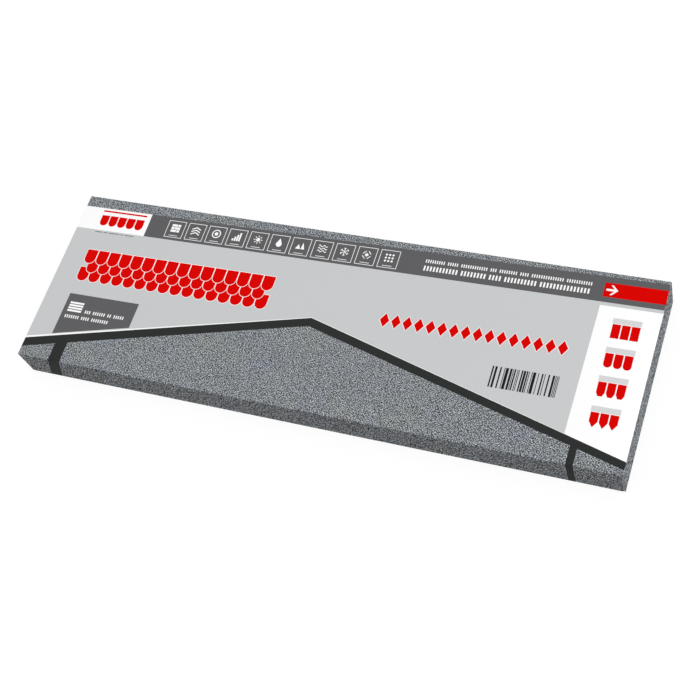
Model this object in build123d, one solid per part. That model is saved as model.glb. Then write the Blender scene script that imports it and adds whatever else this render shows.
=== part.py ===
from build123d import *
import os

# A closed pack of roof shingles: bitumen sheets stacked in a folded board carton.
# Millimetres. X runs along the pack, Y from its front to its back, Z up,
# and the origin is in the middle of the underside.

# One shingle: a sheet with its lower half cut into tabs
sheet_length = 1000.0
sheet_depth = 317.0
sheet_thickness = 3.4
sheet_count = 14
tab_count = 3
slot_width = 9.0
slot_depth = 145.0

# Self-sealing strip: a row of bitumen dashes on the granule side, above the slots
dash_length = 40.0
dash_pitch = 60.0
dash_width = 12.0
dash_height = 0.6
dash_above_slot = 12.0
dash_end_margin = 20.0

# Carton: one blank of thin corrugated board, wrapped round the stack and glued
board = 1.5
fold_radius = 0.3
glue_gap = 0.1
end_slack = 5.7
side_slack = 0.7
head_room = 0.3
floor_lip = 4.0
flap_trim = 0.5
flap_stop = 1.0
dust_flap_depth = 110.0

# The stack
sheet_pitch = sheet_thickness + dash_height
stack_height = sheet_count * sheet_pitch

# The carton round it: three layers of board on each end, two underneath, one elsewhere.
# The sheets lie clear of the round inside of every fold.
layer_pitch = board + glue_gap
floor_top = board + layer_pitch
end_wall = board + 2 * layer_pitch
carton_length = sheet_length + 2 * (end_slack + fold_radius + end_wall)
carton_depth = sheet_depth + 2 * (side_slack + fold_radius + board)
carton_height = floor_top + stack_height + head_room + board

# Middle planes of the board's panels, where the long folds end, and how far back the inner flaps take root
wall_y = carton_depth / 2 - board / 2
lid_z = carton_height - board / 2
outer_floor_z = board / 2
inner_floor_z = outer_floor_z + layer_pitch
lid_flap_x = carton_length / 2 - board / 2
dust_flap_x = lid_flap_x - layer_pitch
floor_flap_x = dust_flap_x - layer_pitch
bend_radius = fold_radius + board / 2
wall_end_x = floor_flap_x - bend_radius
flap_root_x = wall_end_x - bend_radius


def shingle():
    """A sheet with its tabs towards the front and the sealing strip on its upper face."""
    slot = Pos(0, (slot_depth - sheet_depth) / 2) * Rectangle(slot_width, slot_depth)
    slot_places = GridLocations(sheet_length / tab_count, 1, tab_count + 1, 1)
    outline = Rectangle(sheet_length, sheet_depth) - [place * slot for place in slot_places]
    strip_length = sheet_length - 2 * dash_end_margin
    dash_count = int((strip_length - dash_length) // dash_pitch) + 1
    dash_y = slot_depth - sheet_depth / 2 + dash_above_slot + dash_width / 2
    dash = Pos(0, dash_y, sheet_thickness) * Rectangle(dash_length, dash_width)
    dash_places = GridLocations(dash_pitch, 1, dash_count, 1)
    dashes = [extrude(place * dash, dash_height) for place in dash_places]
    return extrude(outline, sheet_thickness) + dashes


def folded_board(plane, points, width):
    """Board bent along the given middle line in the plane, and as wide as said across it."""
    middle_line = FilletPolyline(*points, radius=bend_radius)
    return extrude(plane * trace(middle_line, board), width / 2, both=True)


def long_wrap():
    """Inner floor, back wall, lid, front wall and outer floor: one strip wound round the stack."""
    inner_edge_y = -carton_depth / 2 + board + flap_stop
    outer_edge_y = carton_depth / 2 - floor_lip
    points = [
        (inner_edge_y, inner_floor_z),
        (wall_y, inner_floor_z),
        (wall_y, lid_z),
        (-wall_y, lid_z),
        (-wall_y, outer_floor_z),
        (outer_edge_y, outer_floor_z),
    ]
    return folded_board(Plane.YZ, points, 2 * wall_end_x)


def lid_flap(end):
    """The lid's end and its flap, the outermost, folded down over the pack's end."""
    points = [
        (end * wall_end_x, lid_z),
        (end * lid_flap_x, lid_z),
        (end * lid_flap_x, flap_stop),
    ]
    return folded_board(Plane.XZ, points, carton_depth - 2 * flap_trim)


def floor_flap(end):
    """The inner floor's end and its flap, the innermost, folded up against the stack's end."""
    points = [
        (end * flap_root_x, inner_floor_z),
        (end * floor_flap_x, inner_floor_z),
        (end * floor_flap_x, carton_height - board - flap_stop),
    ]
    return folded_board(Plane.XZ, points, carton_depth - 2 * (board + flap_stop))


def dust_flap(end, side):
    """A long wall's end and its flap, folded in between the floor's flap and the lid's."""
    low_z = board + fold_radius + flap_stop
    high_z = carton_height - low_z
    points = [
        (end * flap_root_x, side * wall_y),
        (end * dust_flap_x, side * wall_y),
        (end * dust_flap_x, side * (carton_depth / 2 - dust_flap_depth)),
    ]
    return folded_board(Plane.XY.offset((low_z + high_z) / 2), points, high_z - low_z)


def outer_floor():
    """The glued-on floor panel, which runs on under the flaps to just inside the lid's flaps."""
    length = 2 * (lid_flap_x - board / 2 - glue_gap)
    front_y = -wall_y + bend_radius
    back_y = carton_depth / 2 - floor_lip
    panel = Box(length, back_y - front_y, board)
    return Pos(0, (front_y + back_y) / 2, outer_floor_z) * panel


def carton():
    """The whole blank, folded shut."""
    ends = (-1, 1)
    flaps = [lid_flap(end) for end in ends] + [floor_flap(end) for end in ends]
    flaps += [dust_flap(end, side) for end in ends for side in ends]
    return long_wrap() + outer_floor() + flaps


os.makedirs("parts", exist_ok=True)
export_step(carton(), "parts/carton.step")
one_shingle = shingle()
for number in range(sheet_count):
    seat_z = floor_top + number * sheet_pitch
    export_step(Pos(Z=seat_z) * one_shingle, f"parts/shingle_{number + 1:02d}.step")
print(f"carton {carton_length:.1f} x {carton_depth:.1f} x {carton_height:.1f} mm")
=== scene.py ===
"""The looks of a closed carton of roof shingles: folded board, printed fields and signs, and the stage."""

import math
import random

import bmesh
import bpy
from mathutils import Matrix, Quaternion, Vector


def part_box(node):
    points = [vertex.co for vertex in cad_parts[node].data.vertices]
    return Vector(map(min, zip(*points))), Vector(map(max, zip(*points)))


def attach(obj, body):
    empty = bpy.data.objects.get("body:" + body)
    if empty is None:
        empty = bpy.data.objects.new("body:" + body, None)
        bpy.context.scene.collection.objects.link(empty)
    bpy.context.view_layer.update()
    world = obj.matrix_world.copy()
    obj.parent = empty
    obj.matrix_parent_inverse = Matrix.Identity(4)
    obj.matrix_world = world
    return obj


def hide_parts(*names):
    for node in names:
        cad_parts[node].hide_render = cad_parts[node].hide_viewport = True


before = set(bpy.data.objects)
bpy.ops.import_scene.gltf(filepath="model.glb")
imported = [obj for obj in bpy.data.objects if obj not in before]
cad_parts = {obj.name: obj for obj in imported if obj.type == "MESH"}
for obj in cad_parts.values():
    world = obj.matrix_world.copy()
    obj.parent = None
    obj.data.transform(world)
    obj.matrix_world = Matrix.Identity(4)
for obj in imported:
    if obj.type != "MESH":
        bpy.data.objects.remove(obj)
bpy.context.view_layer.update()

# The carton, from the frame. Metres: X along the pack, Y to its back, Z up.
carton_low, carton_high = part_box("carton")
LEFT, FRONT, FOOT = carton_low
RIGHT, BACK, TOP = carton_high
FOLD_RADIUS = 0.0018
FOLD_STEPS = 8
# A face of a round fold belongs to a side while its normal leans at least this much that way
FOLD_MIDDLE = 0.6

# Flat faces are joined within the first angle, and edges under the second are shaded smooth
FLAT_WITHIN = math.radians(0.5)
SMOOTH_UNDER = math.radians(30)


# Node trees


def srgb(red, green, blue):
    """A colour given as 0 to 255 display values, in the linear values that shaders take."""
    linear = []
    for value in (red, green, blue):
        share = value / 255
        linear.append(share / 12.92 if share <= 0.04045 else ((share + 0.055) / 1.055) ** 2.4)
    return (*linear, 1.0)


def add_node(tree, kind, inputs=None, **settings):
    """A node with its settings, and its inputs set to values or linked to other sockets."""
    node = tree.nodes.new(kind)
    for name, value in settings.items():
        setattr(node, name, value)
    for socket, value in (inputs or {}).items():
        if isinstance(value, bpy.types.NodeSocket):
            tree.links.new(value, node.inputs[socket])
        else:
            node.inputs[socket].default_value = value
    return node


def math_node(tree, operation, *values, **settings):
    """The result of one operation on values or sockets."""
    inputs = dict(enumerate(values))
    return add_node(tree, "ShaderNodeMath", inputs, operation=operation, **settings).outputs[0]


def vector_node(tree, operation, first, second):
    """The result of one operation on two vectors."""
    return add_node(tree, "ShaderNodeVectorMath", {0: first, 1: second}, operation=operation).outputs[0]


def map_range(tree, value, low, high, from_low=0.0, from_high=1.0):
    """A value carried over from one range to another, and held at the ends."""
    inputs = {"Value": value, "From Min": from_low, "From Max": from_high, "To Min": low, "To Max": high}
    return add_node(tree, "ShaderNodeMapRange", inputs).outputs[0]


def mix_colours(tree, factor, first, second, blend="MIX"):
    """Two colours mixed, or blended in another way."""
    inputs = {"Factor": factor, "A": first, "B": second}
    mixed = add_node(tree, "ShaderNodeMix", inputs, data_type="RGBA", blend_type=blend)
    return mixed.outputs["Result"]


def object_place(tree):
    """The place on the object that is shaded."""
    return add_node(tree, "ShaderNodeTexCoord").outputs["Object"]


def soft_noise(tree, place, scale, detail):
    """Noise from 0 to 1, with about so many clouds in a metre."""
    inputs = {"Vector": place, "Scale": scale, "Detail": detail}
    return add_node(tree, "ShaderNodeTexNoise", inputs).outputs["Fac"]


def flute_bands(tree, place, direction):
    """The board's flutes, as soft bands that follow each other in a direction."""
    inputs = {"Vector": place, "Scale": FLUTES}
    return add_node(tree, "ShaderNodeTexWave", inputs, bands_direction=direction).outputs["Fac"]


def cells(tree, place, scale):
    """Uneven cells, about so many in a metre."""
    return add_node(tree, "ShaderNodeTexVoronoi", {"Vector": place, "Scale": scale})


def chance_of(tree, pattern):
    """Each cell's own chance value, from 0 to 1."""
    return add_node(tree, "ShaderNodeSeparateColor", {"Color": pattern.outputs["Color"]}).outputs[0]


def raise_relief(tree, shader, height, strength, depth):
    """Gives the shader a relief from a height."""
    bump = add_node(tree, "ShaderNodeBump", {"Height": height, "Strength": strength, "Distance": depth})
    tree.links.new(bump.outputs["Normal"], shader.inputs["Normal"])


def new_group(name, inputs, outputs):
    """An empty shader group with named sockets, and its input and output nodes."""
    group = bpy.data.node_groups.new(name, "ShaderNodeTree")
    for socket, kind in inputs.items():
        group.interface.new_socket(socket, in_out="INPUT", socket_type=kind)
    for socket, kind in outputs.items():
        group.interface.new_socket(socket, in_out="OUTPUT", socket_type=kind)
    return group, group.nodes.new("NodeGroupInput"), group.nodes.new("NodeGroupOutput")


def new_material(name):
    """A node material with its tree and its Principled shader."""
    material = bpy.data.materials.new(name)
    material.use_nodes = True
    return material, material.node_tree, material.node_tree.nodes["Principled BSDF"]


# Finishes. Scales are counts in a metre, and a relief is a strength and a depth.

FIBRES = 650.0
EDGE_FIBRES = 900.0
FLUTES = 98.0
FLUTE_SHARE = 0.25
SHEEN_CLOUDS = 14.0
SHEEN_ROUGHNESS = (0.50, 0.64)
INK_RELIEF = (0.08, 0.0002)
# The cut edge's darker colour is painted shade in the flutes' gaps, and the lighter one is the liners' grey
EDGE_GAP_SHADE_AND_LINER = (srgb(140, 140, 138), srgb(196, 195, 191))
EDGE_ROUGHNESS = 0.9
EDGE_GLOSS = 0.1
EDGE_RELIEF = (0.5, 0.0003)

# Granules: dark pits between the grains, as painted shade over dark bitumen on the shingles and as printed
# shade in the carton's print, and a hue that drifts from warm to cool
PIT_SHADE_START = 0.45
PIT_SHADE_FULL = 0.85
PIT_SHADE_TONE = 0.3
HUE_DRIFT = 18.0
WARM_TINT = (1.048, 1.032, 0.92, 1.0)
COOL_TINT = (0.952, 0.968, 1.08, 1.0)

# Printed granules. The more depth, the fewer light grains. Across and Up are the steps to the neighbours that
# a tone is evened out with on that face, and clumps are drawn out upwards on the upright faces.
PRINT_MOTTLE = 0.05
PRINT_GLOSS = 0.01
ALL_PRINTS = {"Grains": 1050.0, "Dark": srgb(24, 25, 26)}
LID_GRANULES = {
    "Light": srgb(230, 237, 243),
    "Depth": 1.85,
    "Across": (0.0018, 0.0, 0.0),
    "Up": (0.0, 0.0018, 0.0),
    "Evenness": 0.6,
}
# Besides their clumps, the wall and end prints are a little lighter than the lid's, as painted light on the
# upright faces
WALL_GRANULES = {
    "Light": srgb(240, 246, 251),
    "Depth": 1.9,
    "Clumps": (450.0, 450.0, 260.0),
    "Clumping": 0.95,
    "Across": (0.0018, 0.0, 0.0),
    "Up": (0.0, 0.0, 0.0032),
    "Evenness": 0.55,
}
END_GRANULES = {
    "Light": srgb(240, 246, 251),
    "Depth": 1.9,
    "Clumps": (400.0, 400.0, 140.0),
    "Clumping": 0.95,
    "Across": (0.0, 0.0017, 0.0),
    "Up": (0.0, 0.0, 0.0080),
    "Evenness": 0.5,
}

# The shingles' own granules
STONES = {"Grains": 800.0, "Dark": srgb(34, 35, 37), "Light": srgb(168, 172, 176), "Depth": 2.0}
STONE_ROUGHNESS = 0.85
STONE_RELIEF = (0.8, 0.001)


def board_face_group():
    """Coated board under ink: paper fibres, flutes that show faintly, and uneven sheen."""
    group, given, made = new_group(
        "board_face",
        {"Ink": "NodeSocketColor", "Mottle": "NodeSocketFloat"},
        {"Color": "NodeSocketColor", "Roughness": "NodeSocketFloat", "Height": "NodeSocketFloat"},
    )
    place = object_place(group)
    fibres = soft_noise(group, place, FIBRES, detail=4.0)
    relief = math_node(group, "MULTIPLY_ADD", flute_bands(group, place, "X"), FLUTE_SHARE, fibres)
    centred = math_node(group, "SUBTRACT", relief, (1 + FLUTE_SHARE) / 2)
    change = math_node(group, "MULTIPLY_ADD", centred, given.outputs["Mottle"], 1.0)
    ink = {0: given.outputs["Ink"], "Scale": change}
    tinted = add_node(group, "ShaderNodeVectorMath", ink, operation="SCALE").outputs[0]
    sheen = map_range(group, soft_noise(group, place, SHEEN_CLOUDS, detail=2.0), *SHEEN_ROUGHNESS)
    group.links.new(tinted, made.inputs["Color"])
    group.links.new(sheen, made.inputs["Roughness"])
    group.links.new(relief, made.inputs["Height"])
    return group


def evened(group, given, chance_at, place):
    """A cell's chance, less its four neighbours' excess on the face: light and dark then mix evenly."""
    around = 0.0
    for step in ("Across", "Up"):
        for way in ("ADD", "SUBTRACT"):
            beside = vector_node(group, way, place, given.outputs[step])
            around = math_node(group, "ADD", chance_at(beside), around)
    excess = math_node(group, "MULTIPLY_ADD", around, 1 / 4, -1 / 2)
    share = math_node(group, "MULTIPLY", excess, given.outputs["Evenness"])
    return math_node(group, "SUBTRACT", chance_at(place), share, use_clamp=True)


def granules_group():
    """Crushed stone in mixed greys: one tone a grain, most of them dark, with dark pits between: painted
    shade on the shingles, printed shade in the print.
    """
    group, given, made = new_group(
        "granules",
        {
            "Grains": "NodeSocketFloat",
            "Clumps": "NodeSocketVector",
            "Clumping": "NodeSocketFloat",
            "Across": "NodeSocketVector",
            "Up": "NodeSocketVector",
            "Evenness": "NodeSocketFloat",
            "Depth": "NodeSocketFloat",
            "Dark": "NodeSocketColor",
            "Light": "NodeSocketColor",
        },
        {"Color": "NodeSocketColor", "Height": "NodeSocketFloat"},
    )

    def grain_chance(spot):
        return chance_of(group, cells(group, spot, given.outputs["Grains"]))

    def clump_chance(spot):
        counted = vector_node(group, "MULTIPLY", spot, given.outputs["Clumps"])
        return chance_of(group, cells(group, counted, 1.0))

    place = object_place(group)
    grains = cells(group, place, given.outputs["Grains"])
    tone = math_node(group, "POWER", evened(group, given, grain_chance, place), given.outputs["Depth"])
    weakest = math_node(group, "SUBTRACT", 1.0, given.outputs["Clumping"])
    strongest = math_node(group, "ADD", 1.0, given.outputs["Clumping"])
    clump = evened(group, given, clump_chance, grains.outputs["Position"])
    clumped = math_node(group, "MULTIPLY", tone, map_range(group, clump, weakest, strongest))
    # The pits between grains darken towards the dark tone: painted shade on the shingles, printed shade in
    # the print
    pit_shade = map_range(group, grains.outputs["Distance"], 1.0, PIT_SHADE_TONE, PIT_SHADE_START, PIT_SHADE_FULL)
    shaded = math_node(group, "MULTIPLY", clumped, pit_shade)
    grey = mix_colours(group, shaded, given.outputs["Dark"], given.outputs["Light"])
    tint = mix_colours(group, soft_noise(group, place, HUE_DRIFT, detail=1.0), WARM_TINT, COOL_TINT)
    group.links.new(mix_colours(group, 1.0, grey, tint, "MULTIPLY"), made.inputs["Color"])
    group.links.new(grains.outputs["Distance"], made.inputs["Height"])
    return group


BOARD_FACE = board_face_group()
GRANULES = granules_group()


def lay_ink(tree, shader, ink, mottle, gloss):
    """Ink of one colour, or from a socket, on coated board: a trace of the paper's fibres shows in it."""
    face = add_node(tree, "ShaderNodeGroup", {"Ink": ink, "Mottle": mottle}, node_tree=BOARD_FACE)
    tree.links.new(face.outputs["Color"], shader.inputs["Base Color"])
    tree.links.new(face.outputs["Roughness"], shader.inputs["Roughness"])
    shader.inputs["Specular IOR Level"].default_value = gloss
    raise_relief(tree, shader, face.outputs["Height"], *INK_RELIEF)


def ink_material(name, colour, mottle, gloss):
    """An even ink."""
    material, tree, shader = new_material(name)
    lay_ink(tree, shader, colour, mottle, gloss)
    return material


def granule_print_material(name, granules):
    """A photographic print of roofing granules."""
    material, tree, shader = new_material(name)
    grains = add_node(tree, "ShaderNodeGroup", ALL_PRINTS | granules, node_tree=GRANULES)
    lay_ink(tree, shader, grains.outputs["Color"], PRINT_MOTTLE, PRINT_GLOSS)
    return material


def raw_board_material():
    """The board's cut edge: grey liners and flutes, with painted shade in the gaps between the flutes."""
    material, tree, shader = new_material("raw_board")
    place = object_place(tree)
    flutes = flute_bands(tree, place, "DIAGONAL")
    mixed = math_node(tree, "MULTIPLY", flutes, soft_noise(tree, place, EDGE_FIBRES, detail=3.0))
    tree.links.new(mix_colours(tree, mixed, *EDGE_GAP_SHADE_AND_LINER), shader.inputs["Base Color"])
    shader.inputs["Roughness"].default_value = EDGE_ROUGHNESS
    shader.inputs["Specular IOR Level"].default_value = EDGE_GLOSS
    raise_relief(tree, shader, mixed, *EDGE_RELIEF)
    return material


def bitumen_sheet_material():
    """A shingle: the granules themselves, pressed into dark bitumen."""
    material, tree, shader = new_material("bitumen_granules")
    grains = add_node(tree, "ShaderNodeGroup", STONES, node_tree=GRANULES)
    tree.links.new(grains.outputs["Color"], shader.inputs["Base Color"])
    shader.inputs["Roughness"].default_value = STONE_ROUGHNESS
    raise_relief(tree, shader, grains.outputs["Height"], *STONE_RELIEF)
    return material


lid_print = granule_print_material("lid_granule_print", LID_GRANULES)
# The wall and end prints are lighter copies of the lid print: painted light on the upright faces
wall_print = granule_print_material("wall_granule_print", WALL_GRANULES)
end_print = granule_print_material("end_granule_print", END_GRANULES)
raw_board = raw_board_material()
bitumen = bitumen_sheet_material()
plain_board = ink_material("plain_board", srgb(214, 212, 206), mottle=0.40, gloss=0.10)
light_grey = ink_material("light_grey_ink", srgb(199, 201, 202), mottle=0.02, gloss=0.20)
band_grey = ink_material("band_grey_ink", srgb(93, 93, 95), mottle=0.04, gloss=0.10)
charcoal = ink_material("charcoal_ink", srgb(47, 49, 48), mottle=0.04, gloss=0.03)
black = ink_material("black_ink", srgb(26, 26, 27), mottle=0.04, gloss=0.06)
white = ink_material("white_ink", srgb(254, 254, 254), mottle=0.01, gloss=0.10)
red = ink_material("red_ink", srgb(216, 3, 0), mottle=0.03, gloss=0.02)
dim_grey = ink_material("dim_grey_ink", srgb(120, 121, 123), mottle=0.03, gloss=0.20)
pale_grey = ink_material("pale_grey_ink", srgb(214, 215, 216), mottle=0.03, gloss=0.20)


def new_piece(name, bm, materials):
    """A finished piece that rides on the pack, from a bmesh in its place."""
    mesh = bpy.data.meshes.new(name)
    bm.to_mesh(mesh)
    bm.free()
    for material in materials:
        mesh.materials.append(material)
    mesh.shade_smooth()
    mesh.set_sharp_from_angle(angle=SMOOTH_UNDER)
    piece = bpy.data.objects.new(name, mesh)
    bpy.context.scene.collection.objects.link(piece)
    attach(piece, "root")
    return piece


# The carton's board. Faces as narrow as the board is thick are its cut edges.

MERGE_WITHIN = 1e-6
CUT_EDGE_LEAST = 0.0011
CUT_EDGE_MOST = 0.00155
CARTON_FINISHES = [lid_print, raw_board, plain_board, end_print, wall_print]
SIDE_FINISH = {
    "lid": lid_print,
    "front": wall_print,
    "back": wall_print,
    "left": end_print,
    "right": end_print,
    "underside": plain_board,
    "inside": plain_board,
}

# The axis that each outer side faces along, and which way. A side's faces lie within the skin.
SIDE_FACES = {
    "underside": (2, -1),
    "left": (0, -1),
    "right": (0, 1),
    "front": (1, -1),
    "back": (1, 1),
    "lid": (2, 1),
}
SKIN_DEPTH = 0.0010

# A flat map for baking: each side at one scale in its row, the two ends side by side, and the inside squeezed
MAP_EDGE = 0.01
MAP_SCALE = (1 - 2 * MAP_EDGE) / (RIGHT - LEFT)
LID_ROOM = (BACK - FRONT) * MAP_SCALE + MAP_EDGE
WALL_ROOM = (TOP - FOOT) * MAP_SCALE + MAP_EDGE
MAP_STARTS = {
    "lid": (MAP_EDGE, MAP_EDGE),
    "underside": (MAP_EDGE, MAP_EDGE + LID_ROOM),
    "front": (MAP_EDGE, MAP_EDGE + 2 * LID_ROOM),
    "back": (MAP_EDGE, MAP_EDGE + 2 * LID_ROOM + WALL_ROOM),
    "left": (MAP_EDGE, MAP_EDGE + 2 * LID_ROOM + 2 * WALL_ROOM),
    "right": (MAP_EDGE + LID_ROOM, MAP_EDGE + 2 * LID_ROOM + 2 * WALL_ROOM),
    "inside": (MAP_EDGE, MAP_EDGE + 2 * LID_ROOM + 3 * WALL_ROOM),
}


def outer_side(face):
    """The carton's outer side that a face lies on, or inside if it lies on none."""
    place = face.calc_center_median()
    for side, (axis, way) in SIDE_FACES.items():
        limit = carton_high[axis] if way > 0 else carton_low[axis]
        if way * face.normal[axis] > FOLD_MIDDLE and way * (place[axis] - limit) > -SKIN_DEPTH:
            return side
    return "inside"


def map_place(side, place):
    """Where a point of the board lies in the flat map."""
    left, low = MAP_STARTS[side]
    shares = list((place - carton_low) * MAP_SCALE)
    if side == "inside":
        along, across, up = shares
        return (left + (along + across) / 2, low + (across + up) / 4)
    facing = SIDE_FACES[side][0]
    del shares[facing]
    return (left + shares[0], low + shares[1])


def folded_carton():
    """The carton's own board with round folds: print outside, bare cut edges, and plain board elsewhere."""
    bm = bmesh.new()
    bm.from_mesh(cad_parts["carton"].data)
    bmesh.ops.remove_doubles(bm, verts=bm.verts[:], dist=MERGE_WITHIN)
    bmesh.ops.dissolve_limit(bm, angle_limit=FLAT_WITHIN, verts=bm.verts[:], edges=bm.edges[:])
    flat_map = bm.loops.layers.uv.new("OFBake")
    for face in bm.faces:
        side = outer_side(face)
        strip_width = 2 * face.calc_area() / face.calc_perimeter()
        cut_edge = CUT_EDGE_LEAST < strip_width < CUT_EDGE_MOST
        face.material_index = CARTON_FINISHES.index(raw_board if cut_edge else SIDE_FINISH[side])
        for corner in face.loops:
            corner[flat_map].uv = map_place(side, corner.vert.co)
    carton = new_piece("printed_carton", bm, CARTON_FINISHES)
    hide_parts("carton")


folded_carton()


# Printed fields: thin ink films that lie on the lid and round its folds. A film fills most of its layer.

INK_FILM = 0.00004
FILM_SHARE = 0.9
ON_BOARD = 1
ON_FIELD = 2
ON_PANEL = 3
CUT_WITHIN = 1e-7

# Outlines that leave the lid run on past its edges
OVERLAP = 0.05
PAST_LEFT = LEFT - OVERLAP
PAST_RIGHT = RIGHT + OVERLAP
PAST_FRONT = FRONT - OVERLAP

# The lid's print lies a little turned on the board
PRINT_TURN = math.radians(0.85)
BAND_TOP = 0.1472
BAND_FOOT = 0.1027
CORNER_PANEL_RIGHT = -0.3752
SIDE_PANEL_LEFT = 0.4171
SIDE_PANEL_FOOT = 0.4149
SIDE_PANEL_TOP = 0.0969
RED_BAR_LEFT = 0.4172
RED_BAR_LOW = 0.1121
RED_BAR_HIGH = 0.1367

# The gable: its ridge, and its eaves at the pack's ends. The stripe lies under that line and the thin line
# over it, each so far at the left end, the ridge and the right end.
RIDGE_X = -0.0250
RIDGE_Y = -0.0014
EAVE_LEFT = -0.1293
EAVE_RIGHT = -0.1398
ON_LINE = (0.0, 0.0, 0.0)
STRIPE_BELOW = (-0.0164, -0.0151, -0.0127)
KEYLINE_ABOVE = (0.0034, 0.0009, 0.0005)

# The two posts under the stripe: their sides on the lid, and how far their feet lean on the front
POST_SIDES = {"left_post": (-0.4504, -0.4284), "right_post": (0.4275, 0.4386)}
POST_LEAN = {"left_post": -0.0232, "right_post": -0.0013}


def turned(x, y):
    """A place of the turned print, on the lid."""
    return Matrix.Rotation(PRINT_TURN, 2) @ Vector((x, y))


def sides_of(outline):
    """The outline's sides, as pairs of points."""
    return zip(outline, outline[1:] + outline[:1])


def inside(point, outline):
    """Whether a point lies in a convex outline given anticlockwise."""
    return all((end - start).cross(point - start) > 0 for start, end in sides_of(outline))


def cut_along(bm, outline, up):
    """Cuts the skin along an outline's sides; up is the axis that the outline's second number runs along."""
    for start, end in sides_of(outline):
        point = Vector((start.x, 0, 0))
        point[up] = start.y
        normal = Vector((end.y - start.y, 0, 0))
        normal[up] = start.x - end.x
        everything = bm.verts[:] + bm.edges[:] + bm.faces[:]
        bmesh.ops.bisect_plane(bm, geom=everything, dist=CUT_WITHIN, plane_co=point, plane_no=normal)


def film(name, ink, layer, on_lid, on_front=()):
    """An ink film on the pack's skin, in the outlines that are given on its lid and on its front."""
    raised = layer * INK_FILM
    bm = bmesh.new()
    size = carton_high - carton_low + 2 * Vector((raised, raised, raised))
    middle = (carton_high + carton_low) / 2
    bmesh.ops.create_cube(bm, size=1.0, matrix=Matrix.Translation(middle) @ Matrix.Diagonal((*size, 1.0)))
    bmesh.ops.bevel(
        bm,
        geom=bm.edges[:],
        offset=FOLD_RADIUS + raised,
        affect="EDGES",
        segments=FOLD_STEPS,
        profile=0.5,
        material=-1,
    )
    for outline in on_lid:
        cut_along(bm, outline, 1)
    for outline in on_front:
        cut_along(bm, outline, 2)
    bm.normal_update()
    bare = []
    for face in bm.faces:
        place = face.calc_center_median()
        if face.normal.z > FOLD_MIDDLE:
            kept = any(inside(place.xy, outline) for outline in on_lid)
        else:
            kept = face.normal.y < -FOLD_MIDDLE and any(inside(place.xz, outline) for outline in on_front)
        if not kept:
            bare.append(face)
    bmesh.ops.delete(bm, geom=bare, context="FACES")
    bmesh.ops.dissolve_limit(bm, angle_limit=FLAT_WITHIN, verts=bm.verts[:], edges=bm.edges[:])
    bmesh.ops.solidify(bm, geom=bm.faces[:], thickness=FILM_SHARE * INK_FILM)
    new_piece(name, bm, [ink])


def level_strip(left, low, right, high):
    """A rectangle of the turned print, anticlockwise."""
    return [turned(left, low), turned(right, low), turned(right, high), turned(left, high)]


def eaves_line(x, above=ON_LINE):
    """A point on the gable's line, or so far above it at the left end, the ridge and the right end."""
    left, ridge, right = EAVE_LEFT + above[0], RIDGE_Y + above[1], EAVE_RIGHT + above[2]
    if x < RIDGE_X:
        return Vector((x, left + (ridge - left) * (x - LEFT) / (RIDGE_X - LEFT)))
    return Vector((x, ridge + (right - ridge) * (x - RIDGE_X) / (RIGHT - RIDGE_X)))


def gable(lower, upper):
    """The two legs of a stripe between two lines, which are given as heights above the gable's line."""
    legs = []
    for left, right in ((PAST_LEFT, RIDGE_X), (RIDGE_X, PAST_RIGHT)):
        low_side = [eaves_line(left, lower), eaves_line(right, lower)]
        high_side = [eaves_line(right, upper), eaves_line(left, upper)]
        legs.append(low_side + high_side)
    return legs


def fields():
    """The lid's large areas of even ink."""
    band_left = turned(PAST_LEFT, BAND_FOOT)
    band_right = turned(PAST_RIGHT, BAND_FOOT)
    over_ridge = Vector((RIDGE_X, turned(RIDGE_X, BAND_FOOT).y))
    left_half = [eaves_line(PAST_LEFT), eaves_line(RIDGE_X), over_ridge, band_left]
    right_half = [eaves_line(RIDGE_X), eaves_line(PAST_RIGHT), band_right, over_ridge]
    film("light_grey_field", light_grey, ON_BOARD, [left_half, right_half])
    band = level_strip(CORNER_PANEL_RIGHT, BAND_FOOT, PAST_RIGHT, BAND_TOP)
    film("dark_band", band_grey, ON_BOARD, [band])
    corner = level_strip(PAST_LEFT, BAND_FOOT, CORNER_PANEL_RIGHT, BAND_TOP)
    film("corner_panel", white, ON_BOARD, [corner])
    red_bar = level_strip(RED_BAR_LEFT, RED_BAR_LOW, PAST_RIGHT, RED_BAR_HIGH)
    film("red_bar", red, ON_FIELD, [red_bar])
    side_panel = [
        eaves_line(SIDE_PANEL_FOOT),
        eaves_line(PAST_RIGHT),
        turned(PAST_RIGHT, SIDE_PANEL_TOP),
        turned(SIDE_PANEL_LEFT, SIDE_PANEL_TOP),
    ]
    film("side_panel", white, ON_FIELD, [side_panel])
    film("keyline", white, ON_PANEL, gable(ON_LINE, KEYLINE_ABOVE))


def gable_stripe():
    """The dark stripe under the gable's line, and the posts from it over the fold and down the front."""
    on_lid = gable(STRIPE_BELOW, ON_LINE)
    on_front = []
    for post, (left, right) in POST_SIDES.items():
        lean = POST_LEAN[post]
        in_stripe = min(eaves_line(left).y, eaves_line(right).y) + STRIPE_BELOW[2] / 2
        lid_corners = [(left, PAST_FRONT), (right, PAST_FRONT), (right, in_stripe), (left, in_stripe)]
        front_corners = [(left + lean, FOOT), (right + lean, FOOT), (right, TOP), (left, TOP)]
        on_lid.append([Vector(corner) for corner in lid_corners])
        on_front.append([Vector(corner) for corner in front_corners])
    film("gable_stripe", charcoal, ON_BOARD, on_lid, on_front)


fields()
gable_stripe()


# Marks: flat shapes of one ink, drawn in the turned print's own places

ROUND_STEPS = 32
TAB_STEPS = 10
RUN_GAP = 0.0036


def shape(bm, layer, points):
    """One flat shape from its outline's points, anticlockwise."""
    bm.faces.new([bm.verts.new((x, y, layer * INK_FILM)) for x, y in points])


def bar(bm, layer, left, low, right, high):
    """A plain rectangle."""
    shape(bm, layer, [(left, low), (right, low), (right, high), (left, high)])


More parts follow.
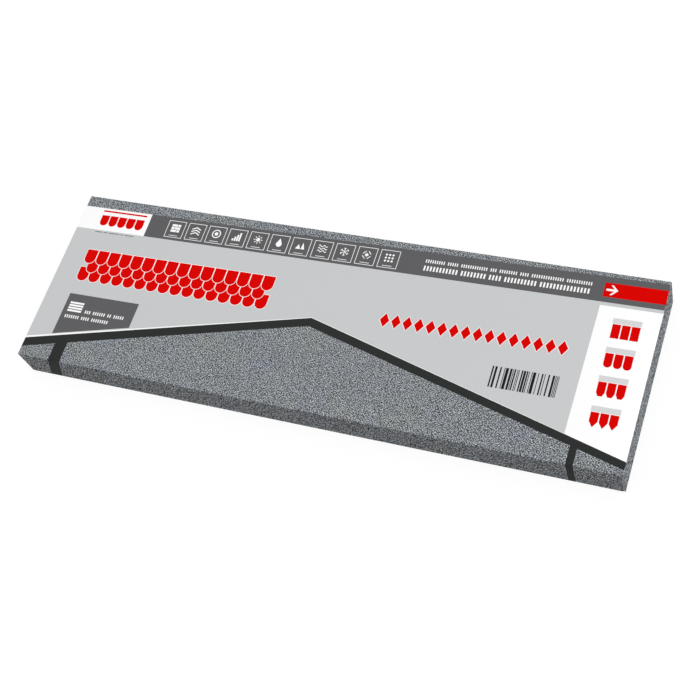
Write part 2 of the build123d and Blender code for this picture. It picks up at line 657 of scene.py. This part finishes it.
def turned_bar(bm, layer, centre, length, width, angle):
    """A plain rectangle that lies at an angle."""
    place = Matrix.Translation((*centre, layer * INK_FILM)) @ Matrix.Rotation(angle, 4, "Z")
    place = place @ Matrix.Diagonal((length, width, 1.0, 1.0))
    bmesh.ops.create_grid(bm, x_segments=1, y_segments=1, size=0.5, matrix=place)


def open_middle(bm, corners, line):
    """Takes out the middle of the face that has these corners, and leaves a rim."""
    faces = list({face for corner in corners for face in corner.link_faces})
    bmesh.ops.inset_region(bm, faces=faces, thickness=line, use_boundary=True, use_even_offset=True)
    bmesh.ops.delete(bm, geom=faces, context="FACES")


def disc(bm, layer, centre, radius, opening=0.0):
    """A round spot, or a ring if it has an opening."""
    place = Matrix.Translation((*centre, layer * INK_FILM))
    made = bmesh.ops.create_circle(bm, cap_ends=True, radius=radius, segments=ROUND_STEPS, matrix=place)
    if opening:
        open_middle(bm, made["verts"], radius - opening)


def square_line(bm, layer, centre, size, line):
    """A square drawn as a line."""
    place = Matrix.Translation((*centre, layer * INK_FILM)) @ Matrix.Diagonal((size, size, 1.0, 1.0))
    made = bmesh.ops.create_grid(bm, x_segments=1, y_segments=1, size=0.5, matrix=place)
    open_middle(bm, made["verts"], line)


def arc(centre, radius, first, last, steps):
    """Points on part of a circle, anticlockwise, between two angles in degrees."""
    points = []
    for step in range(steps + 1):
        angle = math.radians(first + (last - first) * step / steps)
        points.append((centre[0] + radius * math.cos(angle), centre[1] + radius * math.sin(angle)))
    return points


def lozenge(centre, width, height):
    """The corners of a diamond."""
    x, y = centre
    return [(x - width / 2, y), (x, y - height / 2), (x + width / 2, y), (x, y + height / 2)]


def round_end(x, low, width):
    """The round lower end of a tab, from its left to its right."""
    return arc((x, low + width / 2), width / 2, 180, 360, TAB_STEPS)


def round_tab(x, top, width, drop):
    """The outline of a tab that hangs from a course, with a round lower end."""
    return [(x + width / 2, top), (x - width / 2, top)] + round_end(x, top - drop, width)


def scallops(left, top, count, width, drop):
    """The outline of a whole course of round tabs, side by side."""
    points = [(left + count * width, top), (left, top)]
    for number in range(count):
        rim = round_end(left + (number + 0.5) * width, top - drop, width)
        points += rim[1:] if number else rim
    return points


def block_line(bm, layer, left, low, block, runs):
    """A line of upright blocks in runs with gaps between; block is their width, gap and height."""
    width, gap, height = block
    for count in runs:
        for _ in range(count):
            bar(bm, layer, left, low, left + width, low + height)
            left += width + gap
        left += RUN_GAP


def print_marks(name, bm, ink):
    """Gives flat shapes their film's thickness and lays them on the lid."""
    bm.normal_update()
    bmesh.ops.solidify(bm, geom=bm.faces[:], thickness=FILM_SHARE * INK_FILM)
    place = Matrix.Translation((0, 0, TOP)) @ Matrix.Rotation(PRINT_TURN, 4, "Z")
    bmesh.ops.transform(bm, matrix=place, verts=bm.verts[:])
    new_piece(name, bm, [ink])


# The red frieze: courses of round tabs with white joints, each lapped over the one below

FRIEZE_LEFT = -0.4680
FRIEZE_TOP = 0.0630
FRIEZE_COURSES = 3
FRIEZE_TABS = 16
FRIEZE_TAB = 0.0225
FRIEZE_DROP = 0.0290
FRIEZE_LAP = 0.0175
TAB_JOINT = 0.0009


def tile_frieze():
    """The frieze's white courses, and the red tabs that lie on them."""
    joints = bmesh.new()
    tabs = bmesh.new()
    tab_width = FRIEZE_TAB - 2 * TAB_JOINT
    tab_drop = FRIEZE_DROP - 2 * TAB_JOINT
    for course in range(FRIEZE_COURSES):
        shifted = course % 2
        count = FRIEZE_TABS - shifted
        left = FRIEZE_LEFT + shifted * FRIEZE_TAB / 2
        top = FRIEZE_TOP - course * FRIEZE_LAP
        layer = ON_FIELD + 2 * (FRIEZE_COURSES - 1 - course)
        shape(joints, layer, scallops(left, top, count, FRIEZE_TAB, FRIEZE_DROP))
        for number in range(count):
            middle = left + (number + 0.5) * FRIEZE_TAB
            shape(tabs, layer + 1, round_tab(middle, top - TAB_JOINT, tab_width, tab_drop))
    print_marks("frieze_joints", joints, white)
    print_marks("frieze_tabs", tabs, red)


# The row of red diamonds

LOZENGE_COUNT = 16
LOZENGE_LEFT = 0.0850
LOZENGE_PITCH = 0.0190
LOZENGE_Y = 0.0151
LOZENGE_HEIGHT = 0.0250
LOZENGE_BORDER = 0.0013
LOZENGE_GAP = 0.0003


def lozenge_row():
    """A row of red diamonds with white borders."""
    borders = bmesh.new()
    diamonds = bmesh.new()
    border_width = LOZENGE_PITCH - LOZENGE_GAP
    for number in range(LOZENGE_COUNT):
        centre = (LOZENGE_LEFT + (number + 0.5) * LOZENGE_PITCH, LOZENGE_Y)
        shape(borders, ON_FIELD, lozenge(centre, border_width, LOZENGE_HEIGHT + 2 * LOZENGE_BORDER))
        shape(diamonds, ON_FIELD + 1, lozenge(centre, border_width - 2 * LOZENGE_BORDER, LOZENGE_HEIGHT))
    print_marks("lozenge_borders", borders, white)
    print_marks("lozenges", diamonds, red)


# The white corner

CORNER_LEFT = -0.4700
CORNER_TABS = 5
CORNER_TAB = 0.0173
CORNER_TAB_TOP = 0.1332
CORNER_TAB_DROP = 0.0210
CORNER_RULE_LOW = 0.1400
CORNER_RULE_HIGH = 0.1432
NOTE_LOW = 0.0980
NOTE_HEIGHT = 0.0016
NOTE_LENGTHS = (0.014, 0.008, 0.021, 0.006, 0.017)
NOTE_GAP = 0.0025


def corner_course():
    """A red rule over one course of round tabs, and a small grey line below the panel."""
    bm = bmesh.new()
    rule_right = CORNER_LEFT + CORNER_TABS * CORNER_TAB
    bar(bm, ON_FIELD, CORNER_LEFT, CORNER_RULE_LOW, rule_right, CORNER_RULE_HIGH)
    for number in range(CORNER_TABS):
        middle = CORNER_LEFT + (number + 0.5) * CORNER_TAB
        tab = round_tab(middle, CORNER_TAB_TOP, CORNER_TAB - 2 * TAB_JOINT, CORNER_TAB_DROP)
        shape(bm, ON_FIELD, tab)
    print_marks("corner_course", bm, red)
    note = bmesh.new()
    left = CORNER_LEFT
    for length in NOTE_LENGTHS:
        bar(note, ON_FIELD, left, NOTE_LOW, left + length, NOTE_LOW + NOTE_HEIGHT)
        left += length + NOTE_GAP
    print_marks("corner_note", note, dim_grey)


# The row of framed signs on the band. Each is drawn in a square from -1 to 1, and then put in its frame.

SIGN_LEFT = -0.3380
SIGN_Y = 0.1245
SIGN_SIZE = 0.0332
SIGN_PITCH = 0.0390
SIGN_LINE = 0.0009
SIGN_HALF = 0.0082
SIGN_LIFT = 0.0022
SIGN_FOOT = 0.0036
WAVE_STEPS = 20


def polar(radius, angle):
    """A point at a distance from the sign's middle."""
    return (radius * math.cos(angle), radius * math.sin(angle))


def brick_sign(bm):
    """Three courses of bricks, with the middle one's joint shifted."""
    for row in (-1, 0, 1):
        joint = 0.30 if row else -0.30
        low = 0.66 * row - 0.27
        bar(bm, ON_FIELD, -1, low, joint - 0.06, low + 0.54)
        bar(bm, ON_FIELD, joint + 0.06, low, 1, low + 0.54)


def chevron_sign(bm):
    """Three chevrons, one over the other."""
    for low in (-0.75, -0.15, 0.45):
        left_arm = [(-1, low), (-1, low - 0.25), (0, low + 0.25)]
        right_arm = [(1, low - 0.25), (1, low), (0, low + 0.5)]
        shape(bm, ON_FIELD, left_arm + right_arm)


def ring_sign(bm):
    """A disc in a ring."""
    disc(bm, ON_FIELD, (0, 0), 1, opening=0.78)
    disc(bm, ON_FIELD, (0, 0), 0.40)


def step_sign(bm):
    """Four bars, each taller than the one before."""
    for number in range(4):
        left = number / 2 - 1
        bar(bm, ON_FIELD, left, -1, left + 0.36, (number + 1) / 2 - 1)


def sun_sign(bm):
    """A disc with eight rays."""
    disc(bm, ON_FIELD, (0, 0), 0.42)
    for number in range(8):
        angle = math.tau * number / 8
        turned_bar(bm, ON_FIELD, polar(0.78, angle), 0.40, 0.16, angle)


def drop_sign(bm):
    """A drop of water."""
    shape(bm, ON_FIELD, [(0, 1)] + arc((0, -0.35), 0.62, 155, 385, ROUND_STEPS))


def peak_sign(bm):
    """A low peak and a high one."""
    shape(bm, ON_FIELD, [(-1, -0.8), (0.1, -0.8), (-0.45, 0.3)])
    shape(bm, ON_FIELD, [(0.2, -0.8), (1, -0.8), (0.4, 0.8)])


def wave_sign(bm):
    """Three wavy lines."""
    for row in (-0.6, 0.0, 0.6):
        upper = []
        lower = []
        for step in range(WAVE_STEPS + 1):
            along = 2 * step / WAVE_STEPS - 1
            swing = row + 0.18 * math.sin(math.tau * along)
            upper.append((along, swing + 0.10))
            lower.append((along, swing - 0.10))
        shape(bm, ON_FIELD, lower + upper[::-1])


def crystal_sign(bm):
    """Six spokes round a small disc, each with a bar laid across its tip."""
    disc(bm, ON_FIELD, (0, 0), 0.16)
    for number in range(6):
        angle = math.tau * number / 6 + math.pi / 6
        turned_bar(bm, ON_FIELD, polar(0.56, angle), 0.70, 0.14, angle)
        turned_bar(bm, ON_FIELD + 1, polar(0.80, angle), 0.14, 0.50, angle)


def diamond_sign(bm):
    """A diamond with a bar along each of its sides."""
    turned_bar(bm, ON_FIELD, (0, 0), 0.62, 0.62, math.pi / 4)
    for side in (-1, 1):
        turned_bar(bm, ON_FIELD, (0.55 * side, 0.55), 0.9, 0.16, -side * math.pi / 4)
        turned_bar(bm, ON_FIELD, (0.55 * side, -0.55), 0.9, 0.16, side * math.pi / 4)


def dot_sign(bm):
    """Nine dots in a square."""
    for column in (-0.7, 0.0, 0.7):
        for row in (-0.7, 0.0, 0.7):
            disc(bm, ON_FIELD, (column, row), 0.22)


SIGNS = (
    brick_sign,
    chevron_sign,
    ring_sign,
    step_sign,
    sun_sign,
    drop_sign,
    peak_sign,
    wave_sign,
    crystal_sign,
    diamond_sign,
    dot_sign,
)


def framed_signs():
    """The signs in a row of white frames, each over a short line."""
    bm = bmesh.new()
    foot = SIGN_Y - SIGN_SIZE / 2 + SIGN_FOOT
    for number, draw in enumerate(SIGNS):
        x = SIGN_LEFT + SIGN_SIZE / 2 + number * SIGN_PITCH
        square_line(bm, ON_FIELD, (x, SIGN_Y), SIGN_SIZE, SIGN_LINE)
        before = set(bm.verts)
        draw(bm)
        drawn = [corner for corner in bm.verts if corner not in before]
        place = Matrix.Translation((x, SIGN_Y + SIGN_LIFT, 0)) @ Matrix.Diagonal((SIGN_HALF, SIGN_HALF, 1, 1))
        bmesh.ops.transform(bm, matrix=place, verts=drawn)
        bar(bm, ON_FIELD, x - SIGN_HALF, foot, x + SIGN_HALF, foot + SIGN_LINE)
    print_marks("framed_signs", bm, white)


# Two lines of blocks on the band

BAND_LINES_LEFT = 0.1300
UPPER_LINE_LOW = 0.1278
UPPER_BLOCK = (0.0018, 0.0019, 0.0058)
UPPER_LINE_RUNS = (9, 5, 12, 3, 8, 4, 14, 11)
LOWER_LINE_LOW = 0.1130
LOWER_BLOCK = (0.0027, 0.0026, 0.0088)
LOWER_LINE_RUNS = (11, 8, 4, 10, 15)


def band_lines():
    """Two lines of white blocks on the band."""
    bm = bmesh.new()
    block_line(bm, ON_FIELD, BAND_LINES_LEFT, UPPER_LINE_LOW, UPPER_BLOCK, UPPER_LINE_RUNS)
    block_line(bm, ON_FIELD, BAND_LINES_LEFT, LOWER_LINE_LOW, LOWER_BLOCK, LOWER_LINE_RUNS)
    print_marks("band_lines", bm, white)


# The arrow on the red bar. Its shaft meets the head at the neck, so far behind the tip.

ARROW_TIP = 0.4388
ARROW_LENGTH = 0.0180
ARROW_HALF = 0.0085
ARROW_LINE = 0.0036
ARROW_NECK = 0.0054


def red_bar_arrow():
    """A plain white arrow that points to the end of the pack."""
    bm = bmesh.new()
    y = (RED_BAR_LOW + RED_BAR_HIGH) / 2
    head = ARROW_TIP - ARROW_HALF
    neck = ARROW_TIP - ARROW_NECK
    tail = ARROW_TIP - ARROW_LENGTH
    outline = [
        (ARROW_TIP, y),
        (head, y + ARROW_HALF),
        (head - ARROW_LINE, y + ARROW_HALF),
        (neck, y + ARROW_LINE / 2),
        (tail, y + ARROW_LINE / 2),
        (tail, y - ARROW_LINE / 2),
        (neck, y - ARROW_LINE / 2),
        (head - ARROW_LINE, y - ARROW_HALF),
        (head, y - ARROW_HALF),
    ]
    shape(bm, ON_PANEL, outline)
    print_marks("red_bar_arrow", bm, white)


# The dark box over the left slope

BOX_LEFT = -0.4650
BOX_RIGHT = -0.3307
BOX_TOP = -0.0264
BOX_ABOVE = (0.0045, 0.0045, 0.0045)
BOX_BLOCK = (0.0020, 0.0021, 0.0058)
BOX_UPPER_RUNS = (3, 6, 2, 5)
BOX_LOWER_RUNS = (7, 4, 8)
BOX_LINE_LOW = -0.0725
PILE_LEFT = -0.4570
PILE_LOW = -0.0600
PILE_SHEETS = 4
PILE_SHEET = 0.0034
PILE_PITCH = 0.0050
PILE_WIDTH = 0.0270


def dark_box():
    """The dark box, with a white pile of sheets and two lines of blocks in it."""
    left = turned(BOX_LEFT, BOX_TOP)
    right = turned(BOX_RIGHT, BOX_TOP)
    foot_left = eaves_line(left.x, BOX_ABOVE)
    foot_right = eaves_line(right.x, BOX_ABOVE)
    film("dark_box", band_grey, ON_FIELD, [[foot_left, foot_right, right, left]])
    bm = bmesh.new()
    pile_right = PILE_LEFT + PILE_WIDTH
    for number in range(PILE_SHEETS):
        low = PILE_LOW + number * PILE_PITCH
        bar(bm, ON_PANEL, PILE_LEFT, low, pile_right, low + PILE_SHEET)
    block_line(bm, ON_PANEL, pile_right + 2 * RUN_GAP, PILE_LOW, BOX_BLOCK, BOX_UPPER_RUNS)
    block_line(bm, ON_PANEL, PILE_LEFT, BOX_LINE_LOW, BOX_BLOCK, BOX_LOWER_RUNS)
    print_marks("box_lines", bm, white)


# The bar code: widths, and how often each is drawn

CODE_LEFT = 0.2835
CODE_RIGHT = 0.3870
CODE_LOW = -0.0678
CODE_HIGH = -0.0322
CODE_WIDTHS = (0.0011, 0.0022, 0.0033, 0.0044)
CODE_SHARES = (50, 28, 14, 8)
CODE_SEED = 5


def bar_code():
    """Upright black bars of made-up widths, with nothing coded in them."""
    bm = bmesh.new()
    chance = random.Random(CODE_SEED)
    left = CODE_LEFT
    while left < CODE_RIGHT:
        width, gap = chance.choices(CODE_WIDTHS, weights=CODE_SHARES, k=2)
        bar(bm, ON_FIELD, left, CODE_LOW, left + width, CODE_HIGH)
        left += width + gap
    print_marks("code_bars", bm, black)


# Samples of tabs in the white side panel. A cut corner's toe and heel are shares of the tab's half-width.

SAMPLE_X = 0.4637
SAMPLE_TAB = 0.0145
SAMPLE_HEIGHT = 0.0340
SAMPLE_STRIP = 0.0100
SAMPLE_ROWS = {"square": 0.0609, "round": 0.0117, "hexagon": -0.0362, "pointed": -0.0860}
CORNER_CUTS = {"hexagon": (0.5, 1.0), "pointed": (0.08, 1.4)}


def sample_tab(x, top, low, half, cut):
    """The outline of one tab: square, round, or with its lower corners cut off."""
    if cut == "round":
        return round_tab(x, top, 2 * half, top - low)
    if cut == "square":
        return [(x + half, top), (x - half, top), (x - half, low), (x + half, low)]
    toe, heel = CORNER_CUTS[cut]
    toe_left, toe_right = (x - toe * half, low), (x + toe * half, low)
    heel_left, heel_right = (x - half, low + heel * half), (x + half, low + heel * half)
    return [(x + half, top), (x - half, top), heel_left, toe_left, toe_right, heel_right]


def tab_samples():
    """Four small samples: a pale strip with three red tabs of one shape each."""
    strips = bmesh.new()
    tabs = bmesh.new()
    half_width = 3 * SAMPLE_TAB / 2
    half_tab = SAMPLE_TAB / 2 - TAB_JOINT
    for cut, y in SAMPLE_ROWS.items():
        top = y + SAMPLE_HEIGHT / 2
        tab_top = top - SAMPLE_STRIP
        low = y - SAMPLE_HEIGHT / 2
        bar(strips, ON_PANEL, SAMPLE_X - half_width, tab_top + TAB_JOINT, SAMPLE_X + half_width, top)
        for number in (-1, 0, 1):
            x = SAMPLE_X + number * SAMPLE_TAB
            shape(tabs, ON_PANEL, sample_tab(x, tab_top, low, half_tab, cut))
    print_marks("sample_strips", strips, pale_grey)
    print_marks("sample_tabs", tabs, red)


tile_frieze()
lozenge_row()
corner_course()
framed_signs()
band_lines()
red_bar_arrow()
dark_box()
bar_code()
tab_samples()


# The shingles inside


def dress_shingles():
    """Gives each sheet its granules."""
    for node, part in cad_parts.items():
        if node != "carton":
            part.data.materials.clear()
            part.data.materials.append(bitumen)


dress_shingles()


# Stage. The camera was fitted to the pack's corners in a square picture.

CAMERA_PLACE = Vector((0.7883, -0.8558, 1.8187))
CAMERA_AIM = Vector((0.0389, -0.0280, 0.0305))
CAMERA_ROLL = math.radians(-27.25)
CAMERA_LENS = 68.7
CAMERA_SENSOR = 36.0

# Light that falls on things, from the room and from two wide lamps: share, elevation and spread in degrees
ROOM_LIGHT = 0.80
SOFT_LIGHTS = {"overhead_light": (0.12, 90.0, 40.0), "right_light": (0.38, 11.0, 20.0)}
PURE_WHITE = (1.0, 1.0, 1.0, 1.0)
FLOOR_REACH = 30.0
FLOOR_GAP = 0.0002
FLOOR_TONE = (0.12, 0.12, 0.12, 1.0)
FLOOR_ROUGHNESS = 0.9
FLOOR_GLOW = 0.90


def camera():
    """The camera, turned about its own line of sight as the picture is."""
    eye = bpy.data.objects.new("camera", bpy.data.cameras.new("camera"))
    eye.data.lens = CAMERA_LENS
    eye.data.sensor_width = CAMERA_SENSOR
    eye.location = CAMERA_PLACE
    look = (CAMERA_AIM - CAMERA_PLACE).to_track_quat("-Z", "Y")
    eye.rotation_mode = "QUATERNION"
    eye.rotation_quaternion = look @ Quaternion((0, 0, 1), CAMERA_ROLL)
    bpy.context.scene.collection.objects.link(eye)
    bpy.context.scene.camera = eye


def seen_directly(tree):
    """1 for rays from the camera, a mirror or glass, and 0 for the light that falls on things."""
    ray = add_node(tree, "ShaderNodeLightPath")
    seen = ray.outputs["Is Camera Ray"]
    for kind in ("Is Glossy Ray", "Is Transmission Ray"):
        seen = math_node(tree, "MAXIMUM", seen, ray.outputs[kind])
    return seen


def studio():
    """An even white room, a wide soft light from above and a low one from the right."""
    world = bpy.data.worlds.new("white_room")
    bpy.context.scene.world = world
    world.use_nodes = True
    tree = world.node_tree
    background = tree.nodes["Background"]
    background.inputs["Color"].default_value = PURE_WHITE
    tree.links.new(map_range(tree, seen_directly(tree), ROOM_LIGHT, 1.0), background.inputs["Strength"])
    for name, (share, elevation, spread) in SOFT_LIGHTS.items():
        lamp = bpy.data.lights.new(name, "SUN")
        lamp.energy = share * math.pi
        lamp.angle = math.radians(spread)
        holder = bpy.data.objects.new(name, lamp)
        holder.rotation_euler = (0.0, math.radians(90 - elevation), 0.0)
        bpy.context.scene.collection.objects.link(holder)


def floor():
    """A wide pale floor that reads as white and takes a faint shadow."""
    bm = bmesh.new()
    bmesh.ops.create_grid(bm, x_segments=1, y_segments=1, size=FLOOR_REACH)
    bmesh.ops.translate(bm, verts=bm.verts[:], vec=(0, 0, FOOT - FLOOR_GAP))
    mesh = bpy.data.meshes.new("floor")
    bm.to_mesh(mesh)
    bm.free()
    material, tree, shader = new_material("pale_floor")
    shader.inputs["Base Color"].default_value = FLOOR_TONE
    shader.inputs["Roughness"].default_value = FLOOR_ROUGHNESS
    shader.inputs["Specular IOR Level"].default_value = 0.0
    shader.inputs["Emission Color"].default_value = PURE_WHITE
    glow = math_node(tree, "MULTIPLY", seen_directly(tree), FLOOR_GLOW)
    tree.links.new(glow, shader.inputs["Emission Strength"])
    mesh.materials.append(material)
    ground = bpy.data.objects.new("floor", mesh)
    bpy.context.scene.collection.objects.link(ground)


camera()
studio()
floor()
bpy.context.scene.view_settings.view_transform = "Standard"
